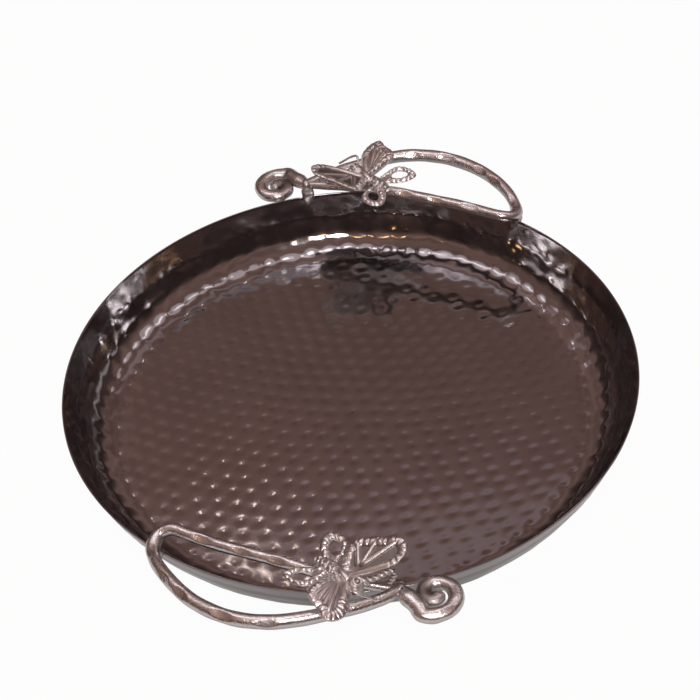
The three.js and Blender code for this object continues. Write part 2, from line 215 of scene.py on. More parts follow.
def cast_silver(name, bright, darker, patina_and_shade_colour, pit_size, pit_depth, low_rough, high_rough):
    metal, tree = new_metal(name)
    place = add_node(tree, "ShaderNodeTexCoord", {}).outputs["Object"]
    tarnish_and_shade = add_node(tree, "ShaderNodeAttribute", {}, attribute_name="tarnish_and_shade")
    cloud, pits = (
        add_node(tree, "ShaderNodeTexNoise", {"Vector": place, "Scale": per_metre(size), "Detail": detail})
        for size, detail in ((CAST_CLOUD_SIZE, 5.0), (pit_size, 3.0)))
    tint = add_node(tree, "ShaderNodeMix", {
        "Factor": cloud.outputs["Fac"], "A": linear(bright), "B": linear(darker),
    }, data_type="RGBA")
    # The dark colour is patina in the relief's hollows and braze tint on the rods, and it also paints shade
    # under the rods, in the curls and in the eye socket.
    darkened = add_node(tree, "ShaderNodeMix", {
        "Factor": tarnish_and_shade.outputs["Fac"], "A": tint.outputs["Result"], "B": linear(patina_and_shade_colour),
    }, data_type="RGBA")
    rough = add_node(tree, "ShaderNodeMapRange", {
        "Value": cloud.outputs["Fac"], "From Min": 0.3, "From Max": 0.7,
        "To Min": low_rough, "To Max": high_rough,
    })
    dull_rough = add_node(tree, "ShaderNodeMix", {
        "Factor": tarnish_and_shade.outputs["Fac"], "A": rough.outputs["Result"], "B": STAINED_ROUGH,
    })
    relief = add_node(tree, "ShaderNodeBump", {
        "Height": pits.outputs["Fac"], "Strength": 0.4, "Distance": pit_depth * MM,
    })
    shader = add_node(tree, "ShaderNodeBsdfPrincipled", {
        "Base Color": darkened.outputs["Result"], "Metallic": 1.0, "Roughness": dull_rough.outputs["Result"],
        "Normal": relief.outputs["Normal"],
    })
    add_node(tree, "ShaderNodeOutputMaterial", {"Surface": shader.outputs["BSDF"]})
    print("metal", name)
    return metal


rod_silver = cast_silver(
    "knocked_cast_silver_rod", "#f2f2f2", "#d8d3d1", "#5f5149",
    pit_size=1.1, pit_depth=0.55, low_rough=0.2, high_rough=0.32)
relief_silver = cast_silver(
    "cast_silver_relief_with_patina_and_shade", "#f6f4f3", "#e0dad7", "#55473f",
    pit_size=1.2, pit_depth=0.3, low_rough=0.27, high_rough=0.39)

# %% [markdown]
# ## The dish
# A flat floor turns through a cove into a flared wall, and a slight crease starts a steeper
# collar. The floor was hammered in slightly bowed, staggered rows about 11 mm apart. A bump map
# would give the same sparkle but a flat exported mesh, so the marks are real dents: each is a
# small soft bowl, and level metal is left between one bowl and the next.

# %% The sheet's section, from the middle of the floor out to the rim
RIM_RADIUS, DISH_HEIGHT, SHEET = 180, 35.7, 1.2
COLLAR_HEIGHT, COVE_RADIUS = 14, 24
COLLAR_FLARE, WALL_FLARE = math.radians(21.5), math.radians(28.5)
WALL_TURN = math.pi / 2 - WALL_FLARE
CREASE_RADIUS = RIM_RADIUS - COLLAR_HEIGHT * math.tan(COLLAR_FLARE)
COVE_TOP = COVE_RADIUS * (1 - math.cos(WALL_TURN))
COVE_TOP_RADIUS = CREASE_RADIUS - (DISH_HEIGHT - COLLAR_HEIGHT - COVE_TOP) * math.tan(WALL_FLARE)
FLOOR_RADIUS = COVE_TOP_RADIUS - COVE_RADIUS * math.sin(WALL_TURN)


def sheet_section(inward, floor_step, wall_step):
    """Radius and height along one face of the sheet, with the face's direction towards the inside."""
    floor = [(r, 0.0) for r in np.arange(1, FLOOR_RADIUS - floor_step / 2, floor_step)]
    turns = np.linspace(0, WALL_TURN, max(6, round(COVE_RADIUS * WALL_TURN / wall_step)))
    cove = [(FLOOR_RADIUS + COVE_RADIUS * math.sin(t), COVE_RADIUS * (1 - math.cos(t))) for t in turns]
    corners = np.array((cove[-1], (CREASE_RADIUS, DISH_HEIGHT - COLLAR_HEIGHT), (RIM_RADIUS, DISH_HEIGHT)))
    rise = []
    for low, high in zip(corners, corners[1:]):
        count = max(4, round(np.linalg.norm(high - low) / wall_step))
        rise += [low + (high - low) * share for share in np.linspace(0, 1, count + 1)[1:]]
    line = np.vstack((floor, cove, rise))
    ahead = unit(np.gradient(line, axis=0))
    inside = np.stack((-ahead[:, 1], ahead[:, 0]), axis=-1)
    return line + inside * inward, inside


INSIDE_STEPS, OUTSIDE_STEPS = (1.7, 1.4), (12, 2.6)
inner_line, inner_lean = sheet_section(SHEET, *INSIDE_STEPS)
outer_line, outer_lean = sheet_section(0, *OUTSIDE_STEPS)
print("dish section", len(inner_line), "inside and", len(outer_line), "outside points")

# %% Hammer dents: small soft bowls in staggered rows, each a little out of place
HAMMER_ACROSS, HAMMER_ROWS = 12.4, 10.9
ROW_BOW, ROW_TOP = 330, -63
DENT_SPREAD, FLOOR_DENT, WALL_DENT = 2.8, 0.23, 0.25
WALL_ROUND, WALL_MARKS = 158, 75
DRAWS, FLOOR_SEED, WALL_SEED = 101, 3, 4
OUT_OF_PLACE, LIGHTEST_BLOW = 0.12, 0.75


def hammer_dents(u, v, across, between, seed, around=0):
    """How deep in a dent each place u, v in millimetres lies, from 0 to 1."""
    dice = np.random.default_rng(seed)
    shift_u, shift_v = dice.uniform(-OUT_OF_PLACE, OUT_OF_PLACE, (2, DRAWS, DRAWS))
    force = dice.uniform(LIGHTEST_BLOW, 1, (DRAWS, DRAWS))
    row_here = np.floor(v / between).astype(int)
    depth = np.zeros(u.shape)
    for down in (-1, 0, 1):
        row = row_here + down
        stagger = (row % 2) * 0.5
        column_here = np.floor(u / across - stagger).astype(int)
        for side in (-1, 0, 1):
            column = column_here + side
            key = (row % DRAWS, (column % around if around else column) % DRAWS)
            middle_u = (column + 0.5 + stagger + shift_u[key]) * across
            middle_v = (row + 0.5 + shift_v[key]) * between
            far = ((u - middle_u) ** 2 + (v - middle_v) ** 2) / DENT_SPREAD**2
            depth += force[key] * np.exp(-far)
    return depth


# %% The dish as one skin: hammered inside, over the rim, and down the outside
def eased(share):
    """A soft step from 0 to 1."""
    share = np.clip(share, 0, 1)
    return share**2 * (3 - 2 * share)


DISH_COLUMNS = 600
RISE_BEFORE, RISE_LENGTH = 10, 16
COVE_FORCE, FORCE_FALL, FORCE_FADE, COLLAR_CALM = 2, 1.2, 6, 0.6
SLOW_SWAY, QUICK_SWAY, CREASE_SWAY, CREASE_WIDTH = 0.22, 0.1, 0.15, 2.5
OUTSIDE_SHARE, OUTSIDE_SINK = -0.5, 0.35
turn = np.linspace(0, TAU, DISH_COLUMNS, endpoint=False)
spoke = np.stack((np.cos(turn), np.sin(turn)), axis=-1)


def dish_face(line, lean, floor_share, wall_share, sink):
    """One face of the dish: its plain section turned round, moved in and out by the hammer marks."""
    radius, height = line[:, :1], line[:, 1:]
    along = np.concatenate(([0], np.cumsum(np.linalg.norm(np.diff(line, axis=0), axis=1))))[:, None]
    east, north = radius * spoke[:, 0], radius * spoke[:, 1]
    bowed = north - (east - ROW_TOP) ** 2 / (2 * ROW_BOW)
    floor = hammer_dents(east, bowed, HAMMER_ACROSS, HAMMER_ROWS, FLOOR_SEED)
    wall = hammer_dents(
        WALL_ROUND * turn + 0 * along, along + 0 * turn,
        WALL_ROUND * TAU / WALL_MARKS, HAMMER_ROWS, WALL_SEED, WALL_MARKS)
    plain = np.stack((east, north, height + 0 * turn), axis=-1)
    rise = eased((radius - FLOOR_RADIUS + RISE_BEFORE) / RISE_LENGTH)
    collar = np.clip((height - DISH_HEIGHT + COLLAR_HEIGHT) / COLLAR_HEIGHT, 0, 1)
    crease = np.exp(-(((height - DISH_HEIGHT + COLLAR_HEIGHT) / CREASE_WIDTH) ** 2))
    slow, quick = SLOW_SWAY * ripple(plain, 38, 5), QUICK_SWAY * ripple(plain, 17, 6)
    sway = slow + quick + CREASE_SWAY * crease * ripple(plain, 6, 7) - sink
    force = COVE_FORCE - FORCE_FALL * eased((radius - COVE_TOP_RADIUS + FORCE_FADE) / FORCE_FADE)
    hammered = (sway - force * WALL_DENT * wall) * rise * (1 - COLLAR_CALM * collar)
    depth = wall_share * hammered - floor_share * FLOOR_DENT * floor * (1 - rise)
    reach = radius + lean[:, :1] * depth
    risen = np.maximum(height + lean[:, 1:] * depth, 0)
    return np.stack((reach * spoke[:, 0], reach * spoke[:, 1], risen), axis=-1)


inside = dish_face(inner_line, inner_lean, 1, 1, 0)
outside = dish_face(outer_line, outer_lean, 0, OUTSIDE_SHARE, OUTSIDE_SINK)
lip_turn = np.linspace(0, math.pi, 7)[1:-1, None, None]
lip_middle, lip_reach = (inside[-1] + outside[-1]) / 2, (inside[-1] - outside[-1]) / 2
lip_rise = unit(inside[-1] - inside[-2]) * SHEET / 2
lip = lip_middle + np.cos(lip_turn) * lip_reach + np.sin(lip_turn) * lip_rise
dish_grid = np.concatenate((inside, lip, outside[::-1]))
dish_points, dish_faces = skin(dish_grid)
outside_face = np.arange(len(dish_points)) >= (len(inside) + len(lip)) * DISH_COLUMNS
# Painted shade: the outside face is darkened by half from just below the middle of the collar, and nearly
# fully below the crease, for the shadowed table it reflects.
under_rim = DISH_HEIGHT - dish_points[:, 2]
low_collar, low_wall = eased((under_rim - COLLAR_HEIGHT / 2) / 3), eased((under_rim - COLLAR_HEIGHT) / 2)
darker = outside_face * (0.5 * low_collar + 0.4 * low_wall)
dish = make_piece("tray_dish", (dish_points, dish_faces), sheet_silver, darker)
print("dish faces", len(dish.data.polygons))

# %% [markdown]
# ## Twig loops
# Each handle is one cast rod bent into a loop that crosses the rim, with flat oval knocks where a
# hammer hit it and a thicker boss at the bend. A bevelled curve would give an even tube, so the
# rod's rings are worked out one by one and flattened wherever a knock lies.

# %% The loop's route, repeated from the solids
ENDS = {"front": 1, "rear": -1}
JUNCTION_ALONG, JUNCTION_OUT = 75, 6.5
BEND_ALONG, BEND_OUT = 72.5, 2.2
LOOP_OUT, LOOP_IN = 31.6, 15
SEAT_LIFT, OUTER_LIFT, INNER_LIFT = 5.5, 9, 10
OUTER_MID, INNER_MID = (SEAT_LIFT + OUTER_LIFT) / 2, (SEAT_LIFT + INNER_LIFT) / 2


def over_rim(along, out, lift):
    """A point along the rim from the handle's middle, out from its edge and above it."""
    return np.array((along, -(math.sqrt(RIM_RADIUS**2 - along**2) + out), DISH_HEIGHT + lift))


def smooth_run(knots, count):
    """Evenly spaced points on a smooth run through the knots."""
    knots = np.array(knots, float)
    ends = np.vstack((2 * knots[0] - knots[1], knots, 2 * knots[-1] - knots[-2]))
    share = np.linspace(0, 1, 40, endpoint=False)[:, None]
    run = []
    for before, start, stop, after in zip(ends, ends[1:], ends[2:], ends[3:]):
        pairs = ((before, start), (start, stop), (stop, after))
        come, here, go = (math.sqrt(np.linalg.norm(b - a)) for a, b in pairs)
        straight = (stop - start) / here
        leave = ((start - before) / come - (stop - before) / (come + here) + straight) * here
        arrive = (straight - (after - start) / (here + go) + (after - stop) / go) * here
        run.append(
            (2 * share**3 - 3 * share**2 + 1) * start + (share**3 - 2 * share**2 + share) * leave
            + (3 * share**2 - 2 * share**3) * stop + (share**3 - share**2) * arrive)
    run = np.vstack((*run, knots[-1]))
    length = np.concatenate(([0], np.cumsum(np.linalg.norm(np.diff(run, axis=0), axis=1))))
    even = np.linspace(0, length[-1], count)
    return np.stack([np.interp(even, length, run[:, axis]) for axis in range(run.shape[1])], axis=-1)


junction = over_rim(JUNCTION_ALONG, JUNCTION_OUT, SEAT_LIFT)
loop_knots = [
    junction,
    over_rim(0.88 * JUNCTION_ALONG, 0.37 * LOOP_OUT, SEAT_LIFT),
    over_rim(0.66 * JUNCTION_ALONG, 0.58 * LOOP_OUT, OUTER_MID),
    over_rim(0.2 * JUNCTION_ALONG, 0.93 * LOOP_OUT, OUTER_LIFT),
    over_rim(-0.13 * BEND_ALONG, LOOP_OUT, OUTER_LIFT),
    over_rim(-0.47 * BEND_ALONG, 0.89 * LOOP_OUT, OUTER_LIFT),
    over_rim(-0.77 * BEND_ALONG, 0.6 * LOOP_OUT, OUTER_LIFT),
    over_rim(-0.93 * BEND_ALONG, 0.33 * LOOP_OUT, OUTER_MID),
    over_rim(-BEND_ALONG, BEND_OUT, SEAT_LIFT),
    over_rim(-0.98 * BEND_ALONG, -0.44 * LOOP_IN, INNER_MID),
    over_rim(-0.89 * BEND_ALONG, -0.83 * LOOP_IN, INNER_LIFT),
    over_rim(-0.74 * BEND_ALONG, -0.95 * LOOP_IN, INNER_LIFT),
    over_rim(-0.52 * BEND_ALONG, -LOOP_IN, INNER_LIFT),
    over_rim(-0.16 * BEND_ALONG, -LOOP_IN, INNER_LIFT),
    over_rim(0.15 * JUNCTION_ALONG, -0.8 * LOOP_IN, INNER_LIFT),
    over_rim(0.53 * JUNCTION_ALONG, -0.32 * LOOP_IN, INNER_MID),
    junction,
]
loop_run = smooth_run(loop_knots, 300)
print("loop run", round(np.linalg.norm(np.diff(loop_run, axis=0), axis=1).sum()), "mm")


# %% A rod's rings, flattened where it was knocked
def rod_rings(run, half_width, half_height, sides, knocks=()):
    """Rings of points round a run. A knock is its share of the run, its angle from the top towards
    the right of the run, half its length and its depth."""
    ahead = unit(np.gradient(run, axis=0))
    right = unit(np.cross(ahead, UP))
    above = np.cross(right, ahead)
    turn = np.linspace(0, TAU, sides, endpoint=False)
    width = np.broadcast_to(half_width, len(run))[:, None]
    height = np.broadcast_to(half_height, len(run))[:, None]
    reach = width * height / np.hypot(height * np.sin(turn), width * np.cos(turn))
    along = np.concatenate(([0], np.cumsum(np.linalg.norm(np.diff(run, axis=0), axis=1))))
    for share, angle, half_length, depth in knocks:
        fall = 1 - ((along - share * along[-1]) / half_length) ** 2
        swing = (turn - math.radians(angle) + math.pi) % TAU - math.pi
        flat = (width - depth * fall[:, None]) / np.maximum(np.cos(swing), 0.2)
        reach = np.where((fall[:, None] > 0) & (np.abs(swing) < 1.3), np.minimum(reach, flat), reach)
    return run[:, None] + reach[..., None] * (
        np.sin(turn)[:, None] * right[:, None] + np.cos(turn)[:, None] * above[:, None])


def underside_shade(rings, run, amount):
    """Painted shade on the underside of a rod, for its rings and the two closed ends."""
    down = np.clip(-unit(rings - run[:, None])[..., 2] + 0.15, 0, 1)
    return np.concatenate((amount * down.ravel(), (0, 0)))


def roughened(rings, run, swell, depth, seed):
    """The same rings with a soft cast unevenness that only takes metal away."""
    middle = run[:, None]
    fall = depth * (0.5 + 0.5 * np.clip(ripple(rings, swell, seed), -1, 1))
    return rings - unit(rings - middle) * fall[..., None]


# %% Both loops, with a ball of metal where the rod ends meet
ROD_RADIUS, GRIP_RADIUS, MAIN_SHARE, GRIP_SHARE = 3.75, 4.4, 0.809, 0.65
KNUCKLE_RADIUS, BRANCH_END_RADIUS = 4.3, 2.7
BOSS_AT, BOSS_HALF, BOSS_RISE = 0.535, 0.018, 0.7
share = np.linspace(0, 1, len(loop_run))
grip = np.sin(math.pi * np.clip(share / (MAIN_SHARE * GRIP_SHARE), 0, 1))
boss = np.exp(-(((share - BOSS_AT) / BOSS_HALF) ** 2))
thinned = np.clip((share - MAIN_SHARE) / (1 - MAIN_SHARE), 0, 1)
swollen = ROD_RADIUS + (GRIP_RADIUS - ROD_RADIUS) * grip + BOSS_RISE * boss
thick = swollen - (ROD_RADIUS - BRANCH_END_RADIUS) * thinned
LOOP_KNOCKS = [
    (0.232, -50, 6, 0.8), (0.307, -38, 7, 1.1), (0.393, -40, 6, 1.1), (0.44, -50, 6, 1.1),
    (0.505, -30, 5, 0.8), (0.645, 35, 7, 1.1), (0.72, 45, 6, 0.7), (0.786, 45, 6, 0.9),
]


def headings(rows, columns):
    """Directions to all sides, in rings from the top down, without the two poles."""
    lean = np.linspace(0, math.pi, rows + 2)[1:-1, None]
    turn = np.linspace(0, TAU, columns, endpoint=False)
    level = np.sin(lean)
    return np.stack((level * np.cos(turn), level * np.sin(turn), np.cos(lean) + 0 * turn), axis=-1)


def ball(middle, radius, seed, rows=18, columns=28):
    """A lumpy closed ball."""
    heading = headings(rows, columns)
    lump = 1 - 0.06 * (1 + ripple(heading * radius, 2.5 * radius, seed))
    return skin(middle + heading * radius * lump[..., None])


for end, way in ENDS.items():
    knocks = [(at, angle * way, half, depth) for at, angle, half, depth in LOOP_KNOCKS]
    rings = roughened(rod_rings(loop_run, thick, thick, 32, knocks), loop_run, 16, 0.2, 11)
    points, faces = gathered((skin(rings), ball(junction, KNUCKLE_RADIUS, 12)))
    braze_and_shade = np.exp(-((np.linalg.norm(points - junction, axis=1) / 7) ** 2)) * 0.35
    # Painted shade under the rod is added to the braze tint round the joint.
    under = underside_shade(rings, loop_run, 0.8)
    braze_and_shade[:len(under)] += under
    loop = make_piece(f"{end}_twig_loop", (points * (way, way, 1), faces), rod_silver, braze_and_shade)
    print(loop.name, len(loop.data.polygons), "faces")

# %% [markdown]
# ## Tendril curls
# From the junction a flattened neck runs out and rolls up into a flat spiral that thins towards
# its eye. It is the same kind of rod, so the same rings are used, wider than high at the neck.

# %% Neck and spiral
CURL_ALONG, CURL_IN, CURL_DROP = 19.5, 3, 3
CURL_RADIUS, CURL_EYE, CURL_TURN, CURL_CLOSE = 15.6, 2.4, 440, 1.15
CURL_ROD_RADIUS, CURL_TIP_RADIUS, CURL_TAPER = 4.7, 3.8, (0.42, 0.8)
NECK_HALF_WIDTH, NECK_ROOT, NECK_SHARE = 6.2, 0.08, 0.36
curl_middle = junction + (CURL_ALONG, CURL_IN, -CURL_DROP)
curl_knots = [junction, junction + (0.6 * CURL_ALONG, -0.5 * CURL_RADIUS, -CURL_DROP / 2)]
for step in range(11):
    angle = math.radians(CURL_TURN * step / 10 - 100)
    reach = CURL_EYE + (CURL_RADIUS - CURL_EYE) * (1 - step / 10) ** CURL_CLOSE
    curl_knots.append(curl_middle + (reach * math.cos(angle), reach * math.sin(angle), 0))
curl_run = smooth_run(curl_knots, 190)
share = np.linspace(0, 1, len(curl_run))
rooted = np.clip(share / NECK_ROOT, 0, 1)
tapered = np.clip((share - CURL_TAPER[0]) / (CURL_TAPER[1] - CURL_TAPER[0]), 0, 1)
rod = CURL_ROD_RADIUS + (CURL_TIP_RADIUS - CURL_ROD_RADIUS) * tapered**2 * (3 - 2 * tapered)
neck = rod + (NECK_HALF_WIDTH - rod) * np.clip(1 - share / NECK_SHARE, 0, 1)
curl_height = CURL_TIP_RADIUS + (rod - CURL_TIP_RADIUS) * rooted
curl_width = CURL_TIP_RADIUS + (neck - CURL_TIP_RADIUS) * rooted + 0.8 * tapered
CURL_KNOCKS = [(0.16, 10, 9, 0.7), (0.34, 35, 10, 0.7), (0.5, 20, 9, 0.6), (0.66, 15, 8, 0.6)]
for end, way in ENDS.items():
    rings = roughened(rod_rings(curl_run, curl_width, curl_height, 28, CURL_KNOCKS), curl_run, 9, 0.3, 13)
    points, faces = gathered((skin(rings), ball(curl_run[-1], CURL_TIP_RADIUS, 14)))
    # Painted shade: the curl is darkened round a point in its middle, so the gap of the spiral reads as
    # shaded, and also under the rod.
    curl_shade = np.exp(-((np.linalg.norm(points - curl_middle + (4, 2, 0), axis=1) / 7) ** 2)) * 1.1
    under = underside_shade(rings, curl_run, 0.6)
    curl_shade[:len(under)] += under
    placed = points * (way, way, 1)
    curl = make_piece(f"{end}_tendril_curl", (placed, faces), rod_silver, curl_shade)
    print(curl.name, len(curl.data.polygons), "faces")

# %% [markdown]
# ## Lugs
# A lump of brazing metal holds each end of a loop on the rim's edge. A ball's directions pushed out
# towards a box give a block with soft corners, which is then made uneven and thinner at its foot.

# %% Lugs: lumpy blocks of brazing metal that grip the rim's edge under the rod
LUG_LENGTH, LUG_IN, LUG_OUT, LUG_GRIP = 10, 3.5, 4.5, 6
bend = over_rim(-BEND_ALONG, BEND_OUT, SEAT_LIFT)
LUG_ROWS, LUG_COLUMNS, LUG_SQUARENESS = 28, 44, 0.55
lug_size = np.array((LUG_LENGTH / 2, (LUG_IN + LUG_OUT) / 2, (LUG_GRIP + SEAT_LIFT) / 2))
block = headings(LUG_ROWS, LUG_COLUMNS)
block = np.sign(block) * np.abs(block) ** LUG_SQUARENESS * lug_size
block -= unit(block) * (0.25 + 0.25 * np.clip(ripple(block, 5, 15), -1, 1))[..., None]
block[..., 2] += np.clip(block[..., 1], 0, None) * (block[..., 2] < 0) * 0.75
block[..., 0] *= 0.82 + 0.18 * block[..., 2] / lug_size[2]
for end, way in ENDS.items():
    for name, seat in (("junction_lug", junction), ("bend_lug", bend)):
        outward = unit(np.array((seat[0], seat[1], 0)))
        sideways = np.cross(UP, outward)
        lug_radius, lug_height = RIM_RADIUS + (LUG_OUT - LUG_IN) / 2, DISH_HEIGHT + (SEAT_LIFT - LUG_GRIP) / 2
        middle = outward * lug_radius + UP * lug_height
        points, faces = skin(middle + block @ np.array((sideways, outward, UP)))
        tarnish_and_shade = 0.5 + 0.25 * ripple(points, 6, 16)
        lug = make_piece(f"{end}_{name}", (points * (way, way, 1), faces), rod_silver, tarnish_and_shade)
        print(lug.name, len(lug.data.polygons), "faces")

# %% [markdown]
# ## Butterflies
# Each butterfly is a cast body with two fan forewings and two open hindwings, chased with ribs and
# a beaded border. In a sculpting program these would be carved. Here each wing is a skin between
# its hub and its outline, so a rib is a line of constant column and a border is a band of rows.

# %% The butterfly's own frame
BUTTERFLY_ALONG, BUTTERFLY_OUT, BUTTERFLY_LIFT = 37.2, -2.6, 14
BUTTERFLY_HEADING, BODY_TURN = math.radians(-22), math.radians(-8)
SHIFTS = {"front": 5, "rear": -6}


def turned(points, angle):
    """Points turned about the upright through the butterfly's middle."""
    c, s = math.cos(angle), math.sin(angle)
    return points @ np.array(((c, s, 0), (-s, c, 0), (0, 0, 1)))


def in_place(end, points):
    """Points of a butterfly, X forward, Y to the dish and Z up, put on their handle."""
    middle = over_rim(BUTTERFLY_ALONG, BUTTERFLY_OUT, BUTTERFLY_LIFT) + (SHIFTS[end], 0, 0)
    return (turned(points, BUTTERFLY_HEADING) + middle) * (ENDS[end], ENDS[end], 1)


# %% Body: ribbed abdomen, folded thorax and a round head
THORAX_LENGTH, THORAX_RADIUS = 11, 4.4
ABDOMEN_LENGTH, ABDOMEN_RADIUS, ABDOMEN_RIBS, RIB_DEPTH = 16.5, 4.7, 5, 0.9
HEAD_RADIUS, EYE_RADIUS, EYE_WIRE = 5.4, 2.4, 0.85
WAIST = -THORAX_LENGTH / 3
NECK = WAIST + THORAX_LENGTH
TAIL = WAIST - ABDOMEN_LENGTH
HEAD = NECK + 0.7 * HEAD_RADIUS
WAIST_RADIUS = 0.85 * ABDOMEN_RADIUS


def body_girth(x):
    """Radius of the body along its length, before it is chased."""
    back = np.clip((x - TAIL) / ABDOMEN_LENGTH, 0.01, 1)
    abdomen = ABDOMEN_RADIUS * np.sqrt(np.sin(math.pi * (0.04 + 0.64 * back)))
    chest = np.clip((x - WAIST) / THORAX_LENGTH, 0, 1)
    thorax = WAIST_RADIUS + (1.08 * THORAX_RADIUS - WAIST_RADIUS) * np.sin(math.pi * chest)
    head = np.sqrt(np.maximum(HEAD_RADIUS**2 - (x - HEAD) ** 2, 0.01))
    return np.where(x < WAIST, abdomen, np.where(x < NECK, np.maximum(thorax, head * (x > NECK - 2)), head))


x = np.linspace(TAIL + 0.02, HEAD + HEAD_RADIUS - 0.05, 170)[:, None]
turn = np.linspace(0, TAU, 56, endpoint=False)
girth = body_girth(x)
heading = np.stack((0 * x + 0 * turn, np.sin(turn) + 0 * x, np.cos(turn) + 0 * x), axis=-1)
axis = np.stack((x, 0 * x, 0 * x), axis=-1)
surface = axis + girth[..., None] * heading
rib_phase = math.pi * ABDOMEN_RIBS * (x - TAIL) / ABDOMEN_LENGTH + 0.5 * np.abs(turn - math.pi)
rib_groove = 1 - np.abs(np.sin(rib_phase))
lump = 0.5 - 0.5 * np.clip(ripple(surface, 3.2, 22), -1, 1)
fold = (0.5 - 0.5 * np.sin(4 * turn + 0.45 * x)) ** 2
on_abdomen, on_thorax = x < WAIST + 0.5, (x >= WAIST + 0.5) & (x < NECK - 0.5)
ribbed = RIB_DEPTH * rib_groove**2 + 0.6 * lump
chased = np.where(on_abdomen, ribbed, np.where(on_thorax, 0.9 * fold, 0.3 * lump))
body_grid = axis + np.maximum(girth - chased, 0.05)[..., None] * heading
print("body", body_grid.shape[0], "rings")


# %% Eyes: a wire ring with a bead on top of the head, and an empty socket low on the outer side
def ring_eye(middle, facing, radius, wire):
    """A ring of wire that faces outward."""
    side = unit(np.cross(facing, UP))
    above = np.cross(side, facing)
    a = np.linspace(0, TAU, 32, endpoint=False)[:, None]
    b = np.linspace(0, TAU, 12, endpoint=False)
    reach = radius + wire * np.cos(b)
    loop = (np.cos(a) * reach)[..., None] * side + (np.sin(a) * reach)[..., None] * above
    return skin(middle + loop + (0 * a + wire * np.sin(b))[..., None] * facing, ring=True)


EYES = {"bead": unit(np.array((0.38, 0.1, 0.92))), "socket": unit(np.array((0.72, -0.69, 0.05)))}
head_middle = np.array((HEAD, 0, 0))
body_parts = [skin(body_grid)]
for facing in EYES.values():
    body_parts.append(ring_eye(head_middle + (HEAD_RADIUS - 0.2) * facing, facing, EYE_RADIUS, EYE_WIRE))
body_parts.append(ball(head_middle + (HEAD_RADIUS - 0.2) * EYES["bead"], 1.15, 21, 10, 16))
bead_middle, socket_middle = (head_middle + HEAD_RADIUS * EYES[eye] for eye in EYES)
for end in ENDS:
    points, faces = gathered(body_parts)
    tarnish_and_shade = np.zeros(len(points))
    tarnish_and_shade[:chased.size] = 0.7 * (chased / 1.2).ravel() ** 1.2
    # Painted shade: the head inside the socket ring is painted dark, as the shade of an empty hollow.
    tarnish_and_shade += 1.4 * np.exp(-((np.linalg.norm(points - socket_middle, axis=1) / 1.7) ** 2))
    on_head = np.arange(len(points)) < chased.size
    tarnish_and_shade += 0.8 * on_head * np.exp(-((np.linalg.norm(points - bead_middle, axis=1) / 2.4) ** 4))
    placed = in_place(end, turned(points, BODY_TURN))
    body = make_piece(f"{end}_butterfly_body", (placed, faces), relief_silver, tarnish_and_shade)
    print(body.name, len(body.data.polygons), "faces")

# %% [markdown]
# ## Wings
# A forewing is a fan: fine ribs leave its front edge, the panels between them are sunk and brown,
# and a thick lumpy border runs round, smooth along the front edge. A hindwing is little more than
# its border round an open window. The outer pair is softer, fluted like a shell.

# %% Wing outlines in plan, repeated from the solids
WING_THICKNESS, WING_GAP = 1.8, 1
FOREWINGS = {
    "inner": dict(forward=28, outward=30.5, corner_back=7.2, corner_out=21.5, climb=(0.2, 0.375)),
    "outer": dict(forward=19.5, outward=33, corner_back=6, corner_out=25, climb=(-0.2, 0.22)),
}
HINDWINGS = {
    "inner": dict(back=23, outward=21, climb=(0, 0.08)),
    "outer": dict(back=26, outward=19.5, climb=(0, 0.12)),
}
WINDOW_LENGTH, WINDOW_WIDTH = 11, 7


def closed_outline(corners, spline, tail, count):
    """A closed outline from straight corners, a smooth stretch and more straight corners."""
    bend = smooth_run([corners[-1], *spline], 90)
    line = np.vstack((corners[:-1], bend, tail, corners[:1]))
    length = np.concatenate(([0], np.cumsum(np.linalg.norm(np.diff(line, axis=0), axis=1))))
    even = np.linspace(0, length[-1], count, endpoint=False)
    return np.stack([np.interp(even, length, line[:, a]) for a in (0, 1)], axis=-1), even


def forewing_outline(forward, outward, corner_back, corner_out, **rest):
    shoulder = outward + (corner_out - outward) * 0.4
    return closed_outline(
        [(0, 0), (THORAX_LENGTH / 2, 0)],
        [(0.7 * forward, 0.3 * outward), (forward, 0.58 * outward), (forward, 0.84 * outward),
         (0.76 * forward, outward), (0.36 * forward, shoulder), (-0.6 * corner_back, corner_out),
         (-corner_back, 0.82 * corner_out)],
        [(-corner_back / 2, 0.35 * corner_out)], 320)


def hindwing_outline(back, outward, corner_back, **rest):
    front = -corner_back - WING_GAP
    return closed_outline(
        [(front, 0), (front, 0.3 * outward)],
        [(0.35 * (front - back), 0.9 * outward), (-0.8 * back, 1.02 * outward), (-back, 0.9 * outward),
         (-0.86 * back, 0.5 * outward), (-0.5 * back, 0.18 * outward)],
        [(-0.45 * back, 0)], 260)


# %% Relief of a wing: lumps along a border, and ribs as straight rounded bars
LUMP_PITCH, RIB_WIDTH = 3.7, 1.5
RIBS = {
    "inner": [((5.4, 9.4), (-2.3, 19.3)), ((7.7, 10.2), (7.8, 26)), ((9.1, 10.2), (20.5, 29.3))],
    "outer": [
        ((4, 8), (13, 27)), ((3, 8), (9, 29)), ((2, 9), (4.5, 28)), ((1, 9), (0.5, 26)), ((0, 9), (-3, 22)),
    ],
}
BORDERS = {"inner": 4.8, "outer": 6}


def lumps(arc, edge, width, smooth, seed):
    """A border's height from 0 to about 1: round lumps, or an even round bar where smooth is 1."""
    wander = np.clip(ripple(np.stack((arc, edge, 0 * arc), axis=-1), 7, seed), -1, 1)
    beat = ((arc + 0.7 * wander) / LUMP_PITCH) % 1
    bead = np.sqrt(np.clip(1 - (2 * beat - 1) ** 2, 0, 1))
    crown = np.sqrt(np.clip(1 - ((edge - 0.45 * width) / (0.55 * width)) ** 2, 0, 1))
    return crown * (0.85 * smooth + (1 - smooth) * (0.3 + 0.6 * bead + 0.1 * wander))


